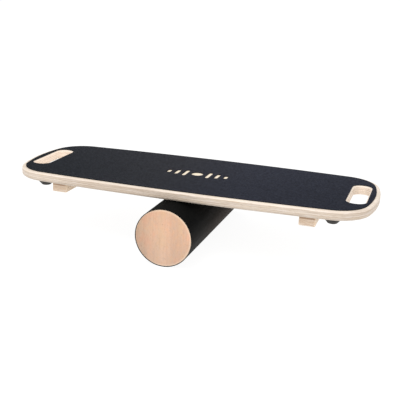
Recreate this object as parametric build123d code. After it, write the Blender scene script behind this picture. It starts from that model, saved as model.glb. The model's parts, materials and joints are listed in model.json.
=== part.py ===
from build123d import *
import math
import os

# A balance board: a bowed plywood deck with a grip sheet, two hand slots, two stop bars
# and four rubber feet, lying on a loose roller.
# Millimetres. The origin is on the floor under the middle of the roller: +X runs along the
# deck's length, +Y along the roller's axis away from the front, +Z up.

# ---- deck ----
DECK_LENGTH = 740.0
DECK_WIDTH = 280.0
DECK_THICKNESS = 18.0
SIDE_BOW = 15.0            # how far a long side bulges out over its whole length
END_BOW = 30.0             # how far an end bulges out over the whole width
CORNER_RADIUS = 74.0
CORNER_STEPS = 12          # rounds of the search for the point where two arcs cross
TOP_ROUND = 3.8            # round-over along the deck's top edge
BOTTOM_ROUND = 5.5         # and along its bottom edge

# ---- hand slots, one near each end ----
SLOT_X = 331.0             # slot centre from the middle of the deck
SLOT_WIDTH = 34.0
SLOT_LENGTH = 129.0
SLOT_TOP_ROUND = 2.8       # round-over at the slot's upper mouth
SLOT_BOTTOM_ROUND = 1.2    # and at its lower mouth

# ---- grip sheet ----
GRIP_THICKNESS = 1.2
GRIP_INSET = 8.0           # wood left bare along the deck's edge
GRIP_SLOT_MARGIN = 2.8     # wood left bare around each hand slot
GRIP_SLOT_RADIUS = 18.5

# ---- centre mark, cut through the grip sheet: a dot between shrinking bars ----
MARK_DOT_RADIUS = 12.0
MARK_BAR_WIDTH = 8.0
MARK_BAR_PITCH = 18.0
MARK_FIRST_BAR_X = 25.0
MARK_BAR_LENGTHS = (41.0, 30.0, 19.0)

# ---- stop bars under the deck ----
STOP_INNER_X = 237.5
STOP_WIDTH = 31.0
STOP_HEIGHT = 19.4
STOP_LENGTH = 242.0
STOP_ROUND = 2.0
STOP_SCREW_COUNT = 3
STOP_SCREW_PITCH = 88.0
STOP_SCREW_LENGTH = 32.0

# ---- wood screws ----
SCREW_RADIUS = 2.2
SCREW_HEAD_RADIUS = 4.4
SCREW_HEAD_HEIGHT = 2.6
HEAD_RIM = 0.4             # the straight rim of a countersunk head
SCREW_SINK = 0.4           # countersunk heads sit this far below the wood
DRIVE_RADIUS = 2.0         # cross recess
DRIVE_WIDTH = 1.1
DRIVE_DEPTH = 1.5
HOLE_CLEARANCE = 0.06

# ---- rubber feet ----
FOOT_X = 296.0
FOOT_Y = 96.0
FOOT_TOP_RADIUS = 16.3
FOOT_BOTTOM_RADIUS = 9.2
FOOT_HEIGHT = 13.8
FOOT_COLLAR_HEIGHT = 5.8   # the straight part against the deck, above the cone
FOOT_ROUND = 0.6
FOOT_WELL_RADIUS = 5.0
FOOT_WELL_DEPTH = 6.5
WASHER_RADIUS = 4.8
WASHER_THICKNESS = 0.8
FOOT_SCREW_LENGTH = 20.0
FOOT_SCREW_HEAD_RADIUS = 3.7
FOOT_SCREW_FLAT_RADIUS = 2.6   # the flat of its pan head
FOOT_SCREW_DOME = 1.0          # and the height over which the head slopes

# ---- roller ----
ROLLER_RADIUS = 56.5
ROLLER_LENGTH = 387.0
SLEEVE_THICKNESS = 0.9
SLEEVE_ROUND = 0.35
CAP_THICKNESS = 15.0
CAP_RECESS = 0.3           # cap face behind the end of the sleeve
CAP_CHAMFER = 1.2
TUBE_WALL = 5.0
PLUG_THICKNESS = 18.0
PLUG_BORE_RADIUS = 6.0
RUNNING_GAP = 0.06         # radial gap between pieces that turn in each other
END_GAP = 0.3              # gap between end faces that turn past each other
DECK_GAP = 0.3             # air between the roller's top and the deck

# ---- worked out ----
ROLLER_Z = ROLLER_RADIUS
DECK_BOTTOM = 2 * ROLLER_RADIUS + DECK_GAP
DECK_TOP = DECK_BOTTOM + DECK_THICKNESS
STOP_BOTTOM = DECK_BOTTOM - STOP_HEIGHT
STOP_X = STOP_INNER_X + STOP_WIDTH / 2
CAP_RADIUS = ROLLER_RADIUS - SLEEVE_THICKNESS - RUNNING_GAP
TUBE_RADIUS = ROLLER_RADIUS - SLEEVE_THICKNESS - RUNNING_GAP
TUBE_END = ROLLER_LENGTH / 2 - CAP_RECESS - CAP_THICKNESS - END_GAP

SIDES = {"left": -1, "right": 1}
ENDS = {"front": -1, "rear": 1}
UPRIGHT = (Align.CENTER, Align.CENTER, Align.MIN)  # centred, standing on z = 0


# ---------------------------------------------------------------- deck
def arc_radius(half_chord, rise):
    """The radius of an arc that rises so far over a chord."""
    return (half_chord**2 + rise**2) / (2 * rise)


def deck_outline(inset=0.0):
    """Four flat arcs joined by round corners, moved inwards by the inset."""
    half_length = DECK_LENGTH / 2 - inset
    half_width = DECK_WIDTH / 2 - inset
    side_radius = arc_radius(DECK_LENGTH / 2, SIDE_BOW) - inset
    end_radius = arc_radius(DECK_WIDTH / 2, END_BOW) - inset
    # the corner where a side arc and an end arc cross, closed in on step by step
    x = half_length
    for _ in range(CORNER_STEPS):
        y = half_width - side_radius + math.sqrt(side_radius**2 - x**2)
        x = half_length - end_radius + math.sqrt(end_radius**2 - y**2)
    with BuildSketch() as outline:
        with BuildLine():
            ThreePointArc((-x, y), (0, half_width), (x, y))
            ThreePointArc((x, y), (half_length, 0), (x, -y))
            ThreePointArc((x, -y), (0, -half_width), (-x, -y))
            ThreePointArc((-x, -y), (-half_length, 0), (-x, y))
        make_face()
        fillet(outline.vertices(), CORNER_RADIUS - inset)
    return outline.sketch


def deck_board():
    """The plywood deck, with its slots and the pilot holes for every screw."""
    board = Pos(0, 0, DECK_BOTTOM) * extrude(deck_outline(), DECK_THICKNESS)
    board = fillet(board.faces().sort_by(Axis.Z)[-1].edges(), TOP_ROUND)
    board = fillet(board.faces().sort_by(Axis.Z)[0].edges(), BOTTOM_ROUND)
    slot = extrude(SlotOverall(SLOT_LENGTH, SLOT_WIDTH, rotation=90), DECK_THICKNESS)
    for side in SIDES.values():
        board -= Pos(side * SLOT_X, 0, DECK_BOTTOM) * slot
    for level, radius in ((-1, SLOT_TOP_ROUND), (0, SLOT_BOTTOM_ROUND)):
        mouths = board.faces().sort_by(Axis.Z)[level].inner_wires()
        board = fillet([edge for mouth in mouths for edge in mouth.edges()], radius)
    for x, y, tip in stop_screw_places() + foot_screw_places():
        depth = tip - DECK_BOTTOM
        pilot = Cylinder(SCREW_RADIUS + HOLE_CLEARANCE, depth, align=UPRIGHT)
        board -= Pos(x, y, DECK_BOTTOM) * pilot
    return board


def centre_mark():
    """Shapes that show the wood through the grip sheet."""
    mark = Sketch() + Circle(MARK_DOT_RADIUS)
    for index, length in enumerate(MARK_BAR_LENGTHS):
        for side in SIDES.values():
            x = side * (MARK_FIRST_BAR_X + index * MARK_BAR_PITCH)
            mark += Pos(x, 0) * SlotOverall(length, MARK_BAR_WIDTH, rotation=90)
    return mark


def deck_grip_sheet():
    """One thin sheet over the deck, open at the slots and at the centre mark."""
    sheet = deck_outline(GRIP_INSET)
    opening = RectangleRounded(
        SLOT_WIDTH + 2 * GRIP_SLOT_MARGIN, SLOT_LENGTH + 2 * GRIP_SLOT_MARGIN, GRIP_SLOT_RADIUS
    )
    for side in SIDES.values():
        sheet -= Pos(side * SLOT_X, 0) * opening
    sheet -= centre_mark()
    return Pos(0, 0, DECK_TOP) * extrude(sheet, GRIP_THICKNESS)


# ---------------------------------------------------------------- screws
def screw_drive():
    """The cross recess in a screw head, open downwards at z = 0."""
    long_way = Box(2 * DRIVE_RADIUS, DRIVE_WIDTH, DRIVE_DEPTH, align=UPRIGHT)
    cross_way = Box(DRIVE_WIDTH, 2 * DRIVE_RADIUS, DRIVE_DEPTH, align=UPRIGHT)
    return long_way + cross_way


def screw(length, head_profile):
    """A screw that points up from its head at z = 0, with a short cone for a tip."""
    tip = 2 * SCREW_RADIUS
    outline = [(0, 0)] + head_profile + [(SCREW_RADIUS, length - tip), (0, length)]
    profile = make_face(Polyline(outline, close=True))
    solid = revolve(Plane.XZ * profile, Axis.Z)
    return solid - screw_drive()


def stop_screw_places():
    """x, y and the height of the tip of every screw through a stop bar."""
    tip = STOP_BOTTOM + SCREW_SINK + STOP_SCREW_LENGTH
    rows = [(n - (STOP_SCREW_COUNT - 1) / 2) * STOP_SCREW_PITCH for n in range(STOP_SCREW_COUNT)]
    return [(side * STOP_X, y, tip) for side in SIDES.values() for y in rows]


def foot_screw_places():
    """x, y and the height of the tip of every screw through a foot."""
    tip = foot_screw_base() + FOOT_SCREW_LENGTH
    return [(x * FOOT_X, y * FOOT_Y, tip) for x in SIDES.values() for y in ENDS.values()]


def stop_screws(side):
    """The countersunk screws of one stop bar."""
    head = [(SCREW_HEAD_RADIUS, 0), (SCREW_HEAD_RADIUS, HEAD_RIM), (SCREW_RADIUS, SCREW_HEAD_HEIGHT)]
    one = screw(STOP_SCREW_LENGTH, head)
    places = [place for place in stop_screw_places() if place[0] * side > 0]
    return Compound([Pos(x, y, tip - STOP_SCREW_LENGTH) * one for x, y, tip in places])


def foot_screw_base():
    """The height of the underside of a foot screw's head."""
    washer_bottom = DECK_BOTTOM - FOOT_HEIGHT + FOOT_WELL_DEPTH - WASHER_THICKNESS
    return washer_bottom - SCREW_HEAD_HEIGHT


def foot_screws():
    """The pan-head screws that hold the four feet."""
    head = [
        (FOOT_SCREW_FLAT_RADIUS, 0),
        (FOOT_SCREW_HEAD_RADIUS, FOOT_SCREW_DOME),
        (FOOT_SCREW_HEAD_RADIUS, SCREW_HEAD_HEIGHT),
        (SCREW_RADIUS, SCREW_HEAD_HEIGHT),
    ]
    one = screw(FOOT_SCREW_LENGTH, head)
    return Compound([Pos(x, y, tip - FOOT_SCREW_LENGTH) * one for x, y, tip in foot_screw_places()])


# ---------------------------------------------------------------- stops and feet
def stop_bar(side):
    """A wooden bar across the deck's underside that the roller runs up against."""
    bar = Pos(side * STOP_X, 0, STOP_BOTTOM + STOP_HEIGHT / 2) * Box(STOP_WIDTH, STOP_LENGTH, STOP_HEIGHT)
    upright = bar.edges().filter_by(Axis.Z)
    lower = bar.faces().sort_by(Axis.Z)[0].edges()
    bar = fillet(upright + lower, STOP_ROUND)
    wall = SCREW_RADIUS + HOLE_CLEARANCE
    mouth = SCREW_HEAD_RADIUS + HOLE_CLEARANCE
    straight = SCREW_SINK + HEAD_RIM
    hole = Cylinder(wall, STOP_HEIGHT, align=UPRIGHT)
    hole += Cylinder(mouth, straight, align=UPRIGHT)
    hole += Pos(0, 0, straight) * Cone(mouth, wall, SCREW_HEAD_HEIGHT - HEAD_RIM, align=UPRIGHT)
    for x, y, _ in stop_screw_places():
        if x * side > 0:
            bar -= Pos(x, y, STOP_BOTTOM) * hole
    return bar


def foot(side, end):
    """A conical rubber foot under a straight collar, with a well for its screw and washer."""
    bottom = DECK_BOTTOM - FOOT_HEIGHT
    cone_height = FOOT_HEIGHT - FOOT_COLLAR_HEIGHT
    body = Cone(FOOT_BOTTOM_RADIUS, FOOT_TOP_RADIUS, cone_height, align=UPRIGHT)
    body += Pos(0, 0, cone_height) * Cylinder(FOOT_TOP_RADIUS, FOOT_COLLAR_HEIGHT, align=UPRIGHT)
    rings = body.edges().filter_by(GeomType.CIRCLE).sort_by(Axis.Z)
    body = fillet(rings[:2], FOOT_ROUND)
    body -= Cylinder(FOOT_WELL_RADIUS, FOOT_WELL_DEPTH, align=UPRIGHT)
    body -= Cylinder(SCREW_RADIUS + HOLE_CLEARANCE, FOOT_HEIGHT, align=UPRIGHT)
    return Pos(side * FOOT_X, end * FOOT_Y, bottom) * body


def foot_washers():
    """A flat steel washer at the bottom of each foot's well."""
    washer = Cylinder(WASHER_RADIUS, WASHER_THICKNESS, align=UPRIGHT)
    washer -= Cylinder(SCREW_RADIUS + 2 * HOLE_CLEARANCE, WASHER_THICKNESS, align=UPRIGHT)
    base = foot_screw_base() + SCREW_HEAD_HEIGHT
    return Compound([Pos(x, y, base) * washer for x, y, _ in foot_screw_places()])


# ---------------------------------------------------------------- roller
def across(solid, y=0.0):
    """Lay an upright round solid along the roller's axis, centred at y."""
    return Pos(0, y, ROLLER_Z) * Rot(90, 0, 0) * solid


def roller_grip_sleeve():
    """The soft sleeve around the whole roller."""
    sleeve = Cylinder(ROLLER_RADIUS, ROLLER_LENGTH)
    sleeve -= Cylinder(ROLLER_RADIUS - SLEEVE_THICKNESS, ROLLER_LENGTH)
    middle = ROLLER_RADIUS - SLEEVE_THICKNESS / 2
    outer = sleeve.edges().filter_by(GeomType.CIRCLE).filter_by(lambda edge: edge.radius > middle)
    return across(fillet(outer, SLEEVE_ROUND))


def roller_cap(end):
    """The wooden disc that closes one end of the roller."""
    cap = Cylinder(CAP_RADIUS, CAP_THICKNESS)
    rims = cap.edges().sort_by(Axis.Z)
    cap = chamfer([rims[0], rims[-1]], CAP_CHAMFER)
    return across(cap, end * (ROLLER_LENGTH / 2 - CAP_RECESS - CAP_THICKNESS / 2))


def roller_core_tube():
    """The stiff tube that carries the load inside the sleeve."""
    tube = Cylinder(TUBE_RADIUS, 2 * TUBE_END) - Cylinder(TUBE_RADIUS - TUBE_WALL, 2 * TUBE_END)
    return across(tube)


def roller_plug(end):
    """The round plug inside one end of the tube, behind the cap."""
    plug = Cylinder(TUBE_RADIUS - TUBE_WALL - RUNNING_GAP, PLUG_THICKNESS)
    plug -= Cylinder(PLUG_BORE_RADIUS, PLUG_THICKNESS)
    return across(plug, end * (TUBE_END - PLUG_THICKNESS / 2))


# ---------------------------------------------------------------- all pieces
def all_pieces():
    """Every piece under the name of its node."""
    pieces = {
        "deck_board": deck_board(),
        "deck_grip_sheet": deck_grip_sheet(),
        "foot_washers": foot_washers(),
        "foot_screws": foot_screws(),
        "roller_grip_sleeve": roller_grip_sleeve(),
        "roller_core_tube": roller_core_tube(),
    }
    for side_name, side in SIDES.items():
        pieces[f"stop_bar_{side_name}"] = stop_bar(side)
        pieces[f"stop_screws_{side_name}"] = stop_screws(side)
        for end_name, end in ENDS.items():
            pieces[f"foot_{end_name}_{side_name}"] = foot(side, end)
    for end_name, end in ENDS.items():
        pieces[f"roller_cap_{end_name}"] = roller_cap(end)
        pieces[f"roller_plug_{end_name}"] = roller_plug(end)
    return pieces


os.makedirs("parts", exist_ok=True)
for node, shape in all_pieces().items():
    shape.label = node
    export_step(shape, f"parts/{node}.step")
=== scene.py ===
import json
import math

import bpy
from mathutils import Matrix, Vector


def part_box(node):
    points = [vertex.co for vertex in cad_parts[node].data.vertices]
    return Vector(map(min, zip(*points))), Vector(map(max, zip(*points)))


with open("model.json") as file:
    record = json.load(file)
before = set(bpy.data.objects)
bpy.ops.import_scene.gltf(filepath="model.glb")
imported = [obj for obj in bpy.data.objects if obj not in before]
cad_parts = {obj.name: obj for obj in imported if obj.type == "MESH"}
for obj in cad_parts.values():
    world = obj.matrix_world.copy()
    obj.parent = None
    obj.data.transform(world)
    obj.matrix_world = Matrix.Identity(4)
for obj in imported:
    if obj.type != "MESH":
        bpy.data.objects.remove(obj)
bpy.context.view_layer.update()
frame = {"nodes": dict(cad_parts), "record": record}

# Everything is in metres, in the frame of the CAD model: +X along the deck, +Y along the
# roller's axis away from the viewer, +Z up, with the floor at z = 0.
DECK_LOW, DECK_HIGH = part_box("deck_board")
STOP_LOW, STOP_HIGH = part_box("stop_bar_left")
SLEEVE_LOW, SLEEVE_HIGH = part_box("roller_grip_sleeve")
ROLLER_RADIUS = SLEEVE_HIGH.z / 2
DECK_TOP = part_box("deck_grip_sheet")[1].z

# How many layers each kind of plywood has. The margin keeps its outer faces inside the outer layers.
DECK_PLIES = 5
STOP_PLIES = 7
PLUG_PLIES = 41
PLY_MARGIN = 1e-5

# Zones of lighter wood, mirrored left to right: a centre, and how far each reaches along X, Y and Z. In
# the slot and stop zones the lighter wood is painted light; the mark is the wood's own.
SLOT_ZONE = ((0.331, 0.0, DECK_LOW.z), (0.019, 0.069, 0.03))
MARK_ZONE = ((0.0, 0.0, DECK_HIGH.z), (0.09, 0.03, 0.004))
STOP_ZONE = ((-(STOP_LOW.x + STOP_HIGH.x) / 2, 0.0, STOP_LOW.z), (0.02, 0.13, 0.03))

CAMERA_AZIMUTH = math.radians(17.66)
CAMERA_ELEVATION = math.radians(17.27)
CAMERA_ROLL = math.radians(2.26)
CAMERA_DISTANCE = 1.5753
CAMERA_TARGET = Vector((0.0081, -0.0009, DECK_TOP - 0.0548))
LENS_MM = 68.25
SENSOR_MM = 36.0

FLOOR_RADIUS = 60.0
FLOOR_GAP = 0.0002
FLOOR_GLOW = 0.93


# ---------------------------------------------------------------- node graphs
class Graph:
    """A material and a short way to add nodes to it."""

    def __init__(self, name):
        self.material = bpy.data.materials.new(name)
        self.material.use_nodes = True
        self.tree = self.material.node_tree
        self.shader = self.tree.nodes["Principled BSDF"]

    def feed(self, socket, value):
        """Link the socket to another one, or set it to a constant."""
        if isinstance(value, bpy.types.NodeSocket):
            self.tree.links.new(value, socket)
        else:
            socket.default_value = value

    def node(self, kind, inputs, **settings):
        """Add a node, with its settings, and feed its inputs."""
        made = self.tree.nodes.new(kind)
        for key, value in settings.items():
            setattr(made, key, value)
        for key, value in inputs.items():
            self.feed(made.inputs[key], value)
        return made

    def math(self, operation, a, b=0.0, clamp=False):
        made = self.node("ShaderNodeMath", {0: a, 1: b}, operation=operation, use_clamp=clamp)
        return made.outputs[0]

    def vector_math(self, operation, a, b=(0.0, 0.0, 0.0)):
        return self.node("ShaderNodeVectorMath", {0: a, 1: b}, operation=operation)

    def combine(self, **axes):
        """A vector from values named X, Y and Z."""
        return self.node("ShaderNodeCombineXYZ", axes).outputs[0]

    def split(self, vector):
        """The X, Y and Z of a vector."""
        return self.node("ShaderNodeSeparateXYZ", {0: vector}).outputs

    def place(self):
        """The point being shaded, in the frame at rest."""
        return self.node("ShaderNodeTexCoord", {}).outputs["Object"]

    def facing(self):
        """How far the surface faces along X, Y and Z, each from 0 to 1."""
        normal = self.node("ShaderNodeTexCoord", {}).outputs["Normal"]
        return self.split(self.vector_math("ABSOLUTE", normal).outputs[0])

    def noise(self, vector, scale=1.0, detail=3.0, rough=0.55, distortion=0.0):
        """Cloudy noise from 0 to 1, scale clouds to the metre."""
        inputs = {
            "Vector": vector,
            "Scale": scale,
            "Detail": detail,
            "Roughness": rough,
            "Distortion": distortion,
        }
        return self.node("ShaderNodeTexNoise", inputs).outputs["Fac"]

    def grain(self, vector, scales, detail=3.0, rough=0.55, distortion=0.0, shift=None):
        """Noise drawn out along an axis: scales says how many clouds to the metre each axis has."""
        scaled = self.vector_math("MULTIPLY", vector, scales).outputs[0]
        if shift:
            scaled = self.vector_math("ADD", scaled, shift).outputs[0]
        return self.noise(scaled, 1.0, detail, rough, distortion)

    def ramp(self, value, low, high, from_low=0.0, from_high=1.0):
        """Low up to from_low, high beyond from_high, and a smooth step between them."""
        inputs = {0: value, 1: from_low, 2: from_high, 3: low, 4: high}
        made = self.node("ShaderNodeMapRange", inputs, interpolation_type="SMOOTHSTEP", clamp=True)
        return made.outputs[0]

    def mix(self, share, a, b, blend="MIX"):
        """Colour a turned into colour b by share."""
        made = self.node("ShaderNodeMix", {0: share}, data_type="RGBA", blend_type=blend)
        self.feed(made.inputs[6], a)
        self.feed(made.inputs[7], b)
        return made.outputs[2]

    def tint(self, share, colour, factors):
        """The colour multiplied by factors, by share."""
        return self.mix(share, colour, self.mix(1.0, colour, (*factors, 1.0), "MULTIPLY"))

    def blend_values(self, share, a, b):
        """Value a turned into value b by share."""
        made = self.node("ShaderNodeMix", {0: share, 2: a, 3: b}, data_type="FLOAT")
        return made.outputs[0]

    def bump(self, height, distance, strength):
        inputs = {"Height": height, "Distance": distance, "Strength": strength}
        return self.node("ShaderNodeBump", inputs).outputs[0]

    def finish(self, colour, roughness, normal=None, **constants):
        """Feed the shader. The constants are named as its sockets, with _ for a space."""
        self.feed(self.shader.inputs["Base Color"], colour)
        self.feed(self.shader.inputs["Roughness"], roughness)
        if normal is not None:
            self.feed(self.shader.inputs["Normal"], normal)
        for key, value in constants.items():
            self.shader.inputs[key.replace("_", " ")].default_value = value
        return self.material


def rgb(red, green, blue):
    """A colour given as it looks on screen, from 0 to 255, as linear light."""
    def linear(value):
        value /= 255
        return value / 12.92 if value <= 0.04045 else ((value + 0.055) / 1.055) ** 2.4
    return linear(red), linear(green), linear(blue), 1.0


# ---------------------------------------------------------------- wood
def zone_share(g, place, zone, soft):
    """1 inside the zone, falling to 0 at its border over a distance of soft."""
    centre, reach = zone
    mirrored = g.vector_math("ABSOLUTE", place).outputs[0]
    apart = g.vector_math("SUBTRACT", mirrored, centre).outputs[0]
    apart = g.split(g.vector_math("ABSOLUTE", apart).outputs[0])
    along_x, along_y, along_z = [
        g.ramp(apart[axis], 1.0, 0.0, reach[axis] - soft, reach[axis]) for axis in range(3)
    ]
    return g.math("MULTIPLY", g.math("MULTIPLY", along_x, along_y), along_z)


def growth_rings(g, vector, scales, turns):
    """Long pointed arches, as a sawn face shows them, from 0 to 1."""
    field = g.grain(vector, scales, 1.5, 0.35)
    wave = g.math("SINE", g.math("MULTIPLY", field, turns))
    return g.math("ADD", g.math("MULTIPLY", wave, 0.5), 0.5)


def ply_edge(g, place, low, high, plies, tones, accents):
    """The layers seen at an edge, without the glue between them. Returns them and their streaks."""
    z = g.split(place)[2]
    height = g.math("SUBTRACT", z, low - PLY_MARGIN)
    layer = g.math("MULTIPLY", height, plies / (high - low + 2 * PLY_MARGIN))
    index = g.math("FLOOR", layer)
    # layers take turns in grain, and each has its own tone, from a place of its own in the noise
    own = g.noise(g.combine(Z=g.math("MULTIPLY", index, 1.73)), 1.0, 0.0)
    edge = g.mix(g.math("MODULO", index, 2.0), tones["side"], tones["end"])
    edge = g.mix(g.ramp(own, 0.0, 0.4, 0.35, 0.65), edge, tones["end"])
    for number, tone, share in accents:
        edge = g.mix(g.math("MULTIPLY", g.math("COMPARE", index, number), share), edge, tone)
    # streaks and flecks follow the layers around the edge
    streaks = g.grain(place, (24.0, 24.0, 620.0), 4.0, 0.6)
    warmth = g.grain(place, (30.0, 30.0, 420.0), 3.0, 0.6, shift=(7.0, 3.0, 0.0))
    flecks = g.grain(place, (110.0, 110.0, 760.0), 3.0, 0.65)
    edge = g.mix(g.ramp(warmth, 0.0, 0.5, 0.5, 0.7), edge, tones["warm"])
    edge = g.mix(g.ramp(warmth, 0.6, 0.0, 0.3, 0.5), edge, tones["pale"])
    edge = g.mix(g.ramp(streaks, 0.0, 0.8, 0.48, 0.72), edge, tones["streak"])
    edge = g.mix(g.ramp(flecks, 0.0, 0.6, 0.52, 0.7), edge, tones["streak"])
    return layer, edge, streaks, g.math("ADD", streaks, flecks)


def glue_lines(g, place, layer):
    """Thin broken lines where two layers meet, from 0 to 1."""
    part = g.math("FRACT", layer)
    to_line = g.math("MINIMUM", part, g.math("SUBTRACT", 1.0, part))
    broken = g.ramp(g.grain(place, (16.0, 16.0, 300.0), 2.0), 0.3, 1.0, 0.35, 0.6)
    return g.math("MULTIPLY", g.ramp(to_line, 0.8, 0.0, 0.03, 0.11), broken)


def face_veneer(g, place, tones, grain_along_y):
    """The outer layer seen flat on. Returns its colour, its fibres and its relief."""
    x, y, z = g.split(place)
    lengthwise = g.combine(X=y, Y=x, Z=z) if grain_along_y else place
    arches = growth_rings(g, lengthwise, (1.5, 10.0, 1.0), 85.0)
    fibres = g.grain(lengthwise, (14.0, 480.0, 480.0), 4.0, 0.6)
    bands = g.grain(lengthwise, (1.2, 16.0, 1.0), 3.0, 0.5)
    face = g.mix(g.ramp(bands, 0.0, 0.5, 0.35, 0.65), tones["face"], tones["side"])
    face = g.mix(g.math("MULTIPLY", g.math("POWER", arches, 3.0), 0.3), face, tones["streak"])
    face = g.mix(g.ramp(fibres, 0.0, 0.4, 0.48, 0.75), face, tones["streak"])
    return face, fibres, g.math("ADD", fibres, g.math("MULTIPLY", arches, 0.3))


def plywood(name, low, high, plies, tones, accents=(), dull_stretches=(), walls=None, mark=None,
            grain_along_y=False):
    """Layers seen at the edges, and a face veneer with its grain along X, or Y, above and below.

    low, high: the heights of the lowest and the highest layer's outer faces.
    accents: layers that stand out, each with its number, tone and share.
    dull_stretches: stretches along X where the edge is greyer, as painted shade, each with its start,
    end and share.
    walls: a zone of lighter wood that is painted light, its tone, and its share on walls that face Y, on
    walls that face X on the left, and on walls that face X on the right.
    mark: a zone of lighter wood on an upper face, and its tone.
    """
    g = Graph(name)
    place = g.place()
    x = g.split(place)[0]
    face_x, _, face_z = g.facing()
    layer, edge, streaks, edge_relief = ply_edge(g, place, low, high, plies, tones, accents)
    # painted shade: the edge turns greyer along these stretches
    for start, stop, share in dull_stretches:
        fading_in = g.ramp(x, 0.0, 1.0, start, start + 0.08)
        fading_out = g.ramp(x, share, 0.0, stop - 0.16, stop)
        edge = g.mix(g.math("MULTIPLY", fading_in, fading_out), edge, tones["streak"])
    if walls:
        # painted light: walls in the zone turn lighter by how they face and on which side they stand
        zone, tone, (facing_y, facing_x_left, facing_x_right) = walls
        facing_x = g.ramp(x, facing_x_left, facing_x_right, -0.1, 0.1)
        share = g.ramp(face_x, facing_y, facing_x, 0.2, 0.7)
        edge = g.mix(g.math("MULTIPLY", zone_share(g, place, zone, 0.0015), share), edge, tone)
    edge = g.mix(glue_lines(g, place, layer), edge, tones["glue"])
    face, fibres, face_relief = face_veneer(g, place, tones, grain_along_y)
    flat = g.ramp(face_z, 0.0, 1.0, 0.45, 0.85)
    colour = g.mix(flat, edge, face)
    if mark:
        zone, tone = mark
        colour = g.mix(g.math("MULTIPLY", zone_share(g, place, zone, 0.002), 0.8), colour, tone)
    normal = g.bump(g.blend_values(flat, edge_relief, face_relief), 0.0001, 0.5)
    rough = g.ramp(g.blend_values(flat, streaks, fibres), 0.44, 0.58, 0.2, 0.8)
    return g.finish(colour, rough, normal, Specular_IOR_Level=0.35, Coat_Weight=0.08, Coat_Roughness=0.4)


def deck_plywood():
    """Pale birch, with painted light on the walls of the hand slots, lighter at the mark, and painted
    shade that makes the edge greyer left of the middle and far right.
    """
    tones = {
        "face": rgb(188, 176, 162),
        "side": rgb(214, 201, 188),
        "end": rgb(201, 187, 172),
        "streak": rgb(172, 154, 136),
        "glue": rgb(146, 118, 90),
        "warm": rgb(208, 188, 158),
        "pale": rgb(219, 209, 202),
    }
    return plywood(
        "deck_plywood", DECK_LOW.z, DECK_HIGH.z, DECK_PLIES, tones,
        # painted shade left of the middle and at the far right
        dull_stretches=((-0.24, 0.08, 0.4), (0.26, 0.6, 0.2)),
        # painted light on the walls of the hand slots, more on the left slot than the right
        walls=(SLOT_ZONE, rgb(243, 225, 207), (0.65, 0.9, 0.4)),
        mark=(MARK_ZONE, rgb(208, 194, 172)),
    )


def warm_tones():
    """The tones of the stop bars and the plugs, warmer than the deck's."""
    return {
        "face": rgb(224, 204, 182),
        "side": rgb(222, 202, 180),
        "end": rgb(208, 182, 156),
        "streak": rgb(190, 158, 130),
        "glue": rgb(140, 104, 76),
        "warm": rgb(216, 186, 148),
        "pale": rgb(224, 206, 190),
    }


def stop_plywood():
    """Pale lower layers and one dark upper one, which is a painted shadow under the deck, with lighter
    long sides, which are painted light.
    """
    pale = rgb(224, 210, 194)
    # painted shadow: the dark upper layer stands for the shade under the deck
    dark = rgb(158, 128, 104)
    return plywood(
        "stop_plywood", STOP_LOW.z, STOP_HIGH.z, STOP_PLIES, warm_tones(),
        accents=((0, pale, 0.8), (1, pale, 0.6), (3, pale, 0.3), (5, dark, 0.85)),
        # painted light on the long sides that face X
        walls=(STOP_ZONE, rgb(251, 228, 200), (0.0, 0.85, 0.85)),
        grain_along_y=True,
    )


def plug_plywood():
    """A blank of many layers, as the plugs are turned from."""
    return plywood("plug_plywood", SLEEVE_LOW.z, SLEEVE_HIGH.z, PLUG_PLIES, warm_tones())


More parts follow.
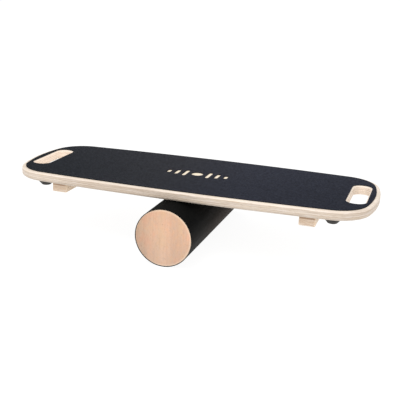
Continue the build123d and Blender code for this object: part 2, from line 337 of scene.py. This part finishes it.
def cap_wood():
    """A disc of pale veneer: soft upright bands, faint arches, blotches and fine short pores, with a
    painted highlight on one side of the rim and painted shade to one side and downwards.
    """
    g = Graph("cap_wood")
    place = g.place()
    x, _, z = g.split(place)
    face_y = g.facing()[1]
    bands = g.grain(place, (38.0, 38.0, 3.0), 2.0, 0.5, 0.3)
    arches = growth_rings(g, place, (21.0, 21.0, 3.6), 34.0)
    blotches = g.grain(place, (190.0, 190.0, 120.0), 4.0, 0.65)
    clouds = g.grain(place, (46.0, 46.0, 26.0), 2.0, 0.5)
    fibres = g.grain(place, (520.0, 520.0, 46.0), 3.0, 0.6)
    pores = g.grain(place, (900.0, 900.0, 210.0), 1.0, 0.5)
    colour = g.mix(g.ramp(bands, 0.0, 1.0, 0.32, 0.68), rgb(212, 175, 147), rgb(199, 163, 137))
    colour = g.mix(g.math("MULTIPLY", g.math("POWER", arches, 2.0), 0.15), colour, rgb(196, 146, 120))
    colour = g.mix(g.ramp(blotches, 0.0, 0.4, 0.5, 0.7), colour, rgb(222, 170, 128))
    colour = g.mix(g.ramp(blotches, 0.4, 0.0, 0.3, 0.5), colour, rgb(190, 164, 146))
    colour = g.mix(g.ramp(clouds, 0.0, 0.45, 0.5, 0.7), colour, rgb(222, 164, 134))
    colour = g.mix(g.ramp(clouds, 0.4, 0.0, 0.3, 0.5), colour, rgb(204, 172, 136))
    colour = g.mix(g.ramp(fibres, 0.0, 0.25, 0.42, 0.72), colour, rgb(182, 138, 114))
    colour = g.mix(g.ramp(pores, 0.0, 0.35, 0.6, 0.74), colour, rgb(150, 106, 84))
    # a painted highlight: a paler rim, most of it on one side
    from_axis = g.vector_math("SUBTRACT", place, (0.0, 0.0, ROLLER_RADIUS)).outputs[0]
    across = g.vector_math("MULTIPLY", from_axis, (1.0, 0.0, 1.0)).outputs[0]
    radius = g.vector_math("LENGTH", across).outputs["Value"]
    rim = g.math("MULTIPLY", g.ramp(radius, 0.0, 0.5, 0.0505, 0.0545), g.ramp(x, 0.0, 1.0, -0.04, 0.0))
    colour = g.mix(rim, colour, rgb(234, 206, 180))
    # painted shade: the tone falls off to one side and downwards
    colour = g.tint(g.ramp(x, 1.0, 0.0, -0.055, 0.0), colour, (0.74, 0.76, 0.76))
    colour = g.tint(g.ramp(z, 1.0, 0.0, 0.0, 0.08), colour, (0.89, 0.92, 0.97))
    # the rounded edge is bare, lighter wood
    colour = g.mix(g.ramp(face_y, 0.8, 0.0, 0.8, 0.97), colour, rgb(236, 214, 188))
    normal = g.bump(g.math("SUBTRACT", fibres, pores), 0.0001, 0.5)
    rough = g.ramp(fibres, 0.5, 0.62, 0.3, 0.7)
    return g.finish(colour, rough, normal, Specular_IOR_Level=0.35)


# ---------------------------------------------------------------- grit, rubber, metal and pipe
def grip():
    """Fine grit bonded into a dark sheet, with painted light that makes it lighter in the middle and to
    the rear, and a plain black cut edge.
    """
    g = Graph("grip_grit")
    place = g.place()
    x, y, _ = g.split(place)
    face_z = g.facing()[2]
    grit = g.noise(place, 1500.0, 2.0, 0.6)
    clumps = g.noise(place, 420.0, 3.0, 0.6)
    patches = g.noise(place, 260.0, 4.0, 0.7)
    # painted light: lighter in the middle and towards the rear
    middle = g.math("MULTIPLY", g.ramp(x, 0.0, 0.65, -0.36, -0.02), g.ramp(x, 1.0, 0.55, 0.1, 0.3))
    lit = g.math("ADD", middle, g.ramp(y, 0.0, 0.35, -0.1, 0.14), clamp=True)
    bluer = g.ramp(x, 0.0, 1.0, -0.1, 0.15)
    dark = g.mix(bluer, rgb(12, 17, 23), rgb(16, 20, 31))
    light = g.mix(bluer, rgb(36, 36, 41), rgb(35, 37, 48))
    base = g.mix(lit, dark, light)
    base = g.mix(g.ramp(patches, 0.0, 0.7, 0.42, 0.68), base, rgb(8, 8, 12))
    base = g.mix(g.ramp(patches, 0.36, 0.0, 0.34, 0.5), base, rgb(40, 44, 50))
    base = g.mix(g.ramp(clumps, 0.0, 0.35, 0.5, 0.75), base, rgb(14, 15, 18))
    base = g.mix(g.ramp(grit, 0.0, 0.8, 0.6, 0.75), base, rgb(66, 69, 80))
    base = g.mix(g.ramp(face_z, 1.0, 0.0, 0.3, 0.7), base, rgb(12, 12, 13))
    normal = g.bump(g.math("ADD", grit, g.math("MULTIPLY", clumps, 0.8)), 0.0005, 0.7)
    rough = g.ramp(clumps, 0.85, 0.98, 0.3, 0.7)
    return g.finish(base, rough, normal, Specular_IOR_Level=0.08)


def sleeve():
    """A thin gritty wrap, almost black, with painted light from the floor low on the roller, and browner
    to the rear.
    """
    g = Graph("sleeve_wrap")
    place = g.place()
    _, y, z = g.split(place)
    cells = g.node("ShaderNodeTexVoronoi", {"Vector": place, "Scale": 1400.0}).outputs["Distance"]
    specks = g.noise(place, 600.0, 3.0, 0.6)
    wear = g.grain(place, (60.0, 5.0, 60.0), 4.0, 0.6)
    rear = g.ramp(y, 0.0, 1.0, -0.16, 0.0)
    base = g.mix(rear, rgb(3, 4, 4), rgb(8, 5, 3))
    base = g.mix(g.ramp(wear, 0.0, 0.5, 0.35, 0.75), base, rgb(8, 7, 6))
    # painted light: the lower part of the roller is lighter, as if lit by the floor
    painted_floor_light = g.mix(rear, rgb(48, 47, 46), rgb(60, 54, 50))
    base = g.mix(g.ramp(z, 0.85, 0.0, 0.035, 0.085), base, painted_floor_light)
    base = g.mix(g.ramp(specks, 0.0, 0.3, 0.5, 0.75), base, rgb(16, 15, 14))
    normal = g.bump(g.math("ADD", cells, specks), 0.0003, 0.5)
    rough = g.ramp(wear, 0.7, 0.85, 0.3, 0.7)
    return g.finish(base, rough, normal, Specular_IOR_Level=0.04)


def foot_rubber():
    """Moulded rubber with a faint cast skin and a little dust."""
    g = Graph("foot_rubber")
    place = g.place()
    skin = g.noise(place, 900.0, 3.0, 0.6)
    dust = g.noise(place, 70.0, 4.0, 0.6)
    colour = g.mix(g.ramp(dust, 0.0, 1.0, 0.35, 0.75), rgb(38, 35, 32), rgb(54, 50, 46))
    rough = g.ramp(dust, 0.5, 0.72, 0.3, 0.7)
    return g.finish(colour, rough, g.bump(skin, 0.0002, 0.5), Specular_IOR_Level=0.3)


def steel():
    """Zinc-plated steel with fine turning marks and a little tarnish."""
    g = Graph("plated_steel")
    place = g.place()
    marks = g.grain(place, (500.0, 500.0, 2400.0), 3.0, 0.6)
    tarnish = g.noise(place, 190.0, 4.0, 0.6)
    colour = g.mix(g.ramp(tarnish, 0.0, 1.0, 0.35, 0.75), rgb(205, 207, 210), rgb(168, 166, 158))
    rough = g.ramp(tarnish, 0.24, 0.42, 0.3, 0.7)
    return g.finish(colour, rough, g.bump(marks, 0.00005, 0.5), Metallic=1.0)


def pipe():
    """The plain grey tube inside the roller, with fine draw lines along it."""
    g = Graph("pipe_plastic")
    place = g.place()
    lines = g.grain(place, (700.0, 6.0, 700.0), 3.0, 0.6)
    scuffs = g.noise(place, 60.0, 4.0, 0.6)
    colour = g.mix(g.ramp(scuffs, 0.0, 1.0, 0.35, 0.7), rgb(170, 173, 178), rgb(150, 152, 156))
    rough = g.ramp(lines, 0.35, 0.5, 0.3, 0.7)
    return g.finish(colour, rough, g.bump(lines, 0.0001, 0.4))


def paint(node, material):
    """Give a CAD node its finished material, on every face."""
    data = frame["nodes"][node].data
    data.materials.clear()
    data.materials.append(material)
    for polygon in data.polygons:
        polygon.material_index = 0


def paint_all():
    """Finish every CAD node by the material slot that the record gives it."""
    finishes = {
        "plywood": deck_plywood(),
        "stop_wood": stop_plywood(),
        "plug_wood": plug_plywood(),
        "cap_wood": cap_wood(),
        "grip": grip(),
        "sleeve": sleeve(),
        "foot_rubber": foot_rubber(),
        "fastener_steel": steel(),
        "tube": pipe(),
    }
    for part in frame["record"]["subparts"]:
        paint(part["node"], finishes[part["material_slot"]])


# ---------------------------------------------------------------- studio
def camera():
    """A camera to the front right of the target and above it, rolled a little."""
    back = Vector((
        math.sin(CAMERA_AZIMUTH) * math.cos(CAMERA_ELEVATION),
        -math.cos(CAMERA_AZIMUTH) * math.cos(CAMERA_ELEVATION),
        math.sin(CAMERA_ELEVATION),
    ))
    right = Vector((math.cos(CAMERA_AZIMUTH), math.sin(CAMERA_AZIMUTH), 0.0))
    up = back.cross(right)
    rolled_right = math.cos(CAMERA_ROLL) * right + math.sin(CAMERA_ROLL) * up
    rolled_up = -math.sin(CAMERA_ROLL) * right + math.cos(CAMERA_ROLL) * up
    turned = Matrix((rolled_right, rolled_up, back)).transposed().to_4x4()
    data = bpy.data.cameras.new("camera")
    data.sensor_width = SENSOR_MM
    data.lens = LENS_MM
    data.clip_end = 2 * FLOOR_RADIUS
    made = bpy.data.objects.new("camera", data)
    bpy.context.scene.collection.objects.link(made)
    made.matrix_world = Matrix.Translation(CAMERA_TARGET + CAMERA_DISTANCE * back) @ turned
    bpy.context.scene.camera = made


def soft_light(name, place, size, power):
    """A round white light that points at the middle of the object."""
    data = bpy.data.lights.new(name, "AREA")
    data.shape = "DISK"
    data.size = size
    data.energy = power
    made = bpy.data.objects.new(name, data)
    bpy.context.scene.collection.objects.link(made)
    made.location = place
    middle = Vector((0.0, 0.0, 0.1))
    made.rotation_euler = (Vector(place) - middle).to_track_quat("Z", "Y").to_euler()


def studio():
    """A pale floor that glows a little, white surroundings and two soft lights."""
    g = Graph("floor")
    clouds = g.noise(g.place(), 0.8)
    colour = g.mix(clouds, (0.10, 0.10, 0.10, 1.0), (0.12, 0.12, 0.12, 1.0))
    white = (1.0, 1.0, 1.0, 1.0)
    g.finish(colour, g.ramp(clouds, 0.9, 1.0), Specular_IOR_Level=0.0,
             Emission_Color=white, Emission_Strength=FLOOR_GLOW)
    bpy.ops.mesh.primitive_circle_add(
        vertices=128, radius=FLOOR_RADIUS, fill_type="NGON", location=(0, 0, -FLOOR_GAP))
    floor = bpy.context.object
    floor.name = "floor"
    floor.data.materials.append(g.material)
    world = bpy.data.worlds.new("world")
    bpy.context.scene.world = world
    world.use_nodes = True
    background = world.node_tree.nodes["Background"]
    background.inputs["Color"].default_value = white
    background.inputs["Strength"].default_value = 1.0
    soft_light("top", (-1.5, -2.0, 6.0), 5.0, 300.0)
    soft_light("side", (5.5, -3.5, 4.0), 4.0, 110.0)
    bpy.context.scene.view_settings.view_transform = "Standard"


camera()
studio()
paint_all()
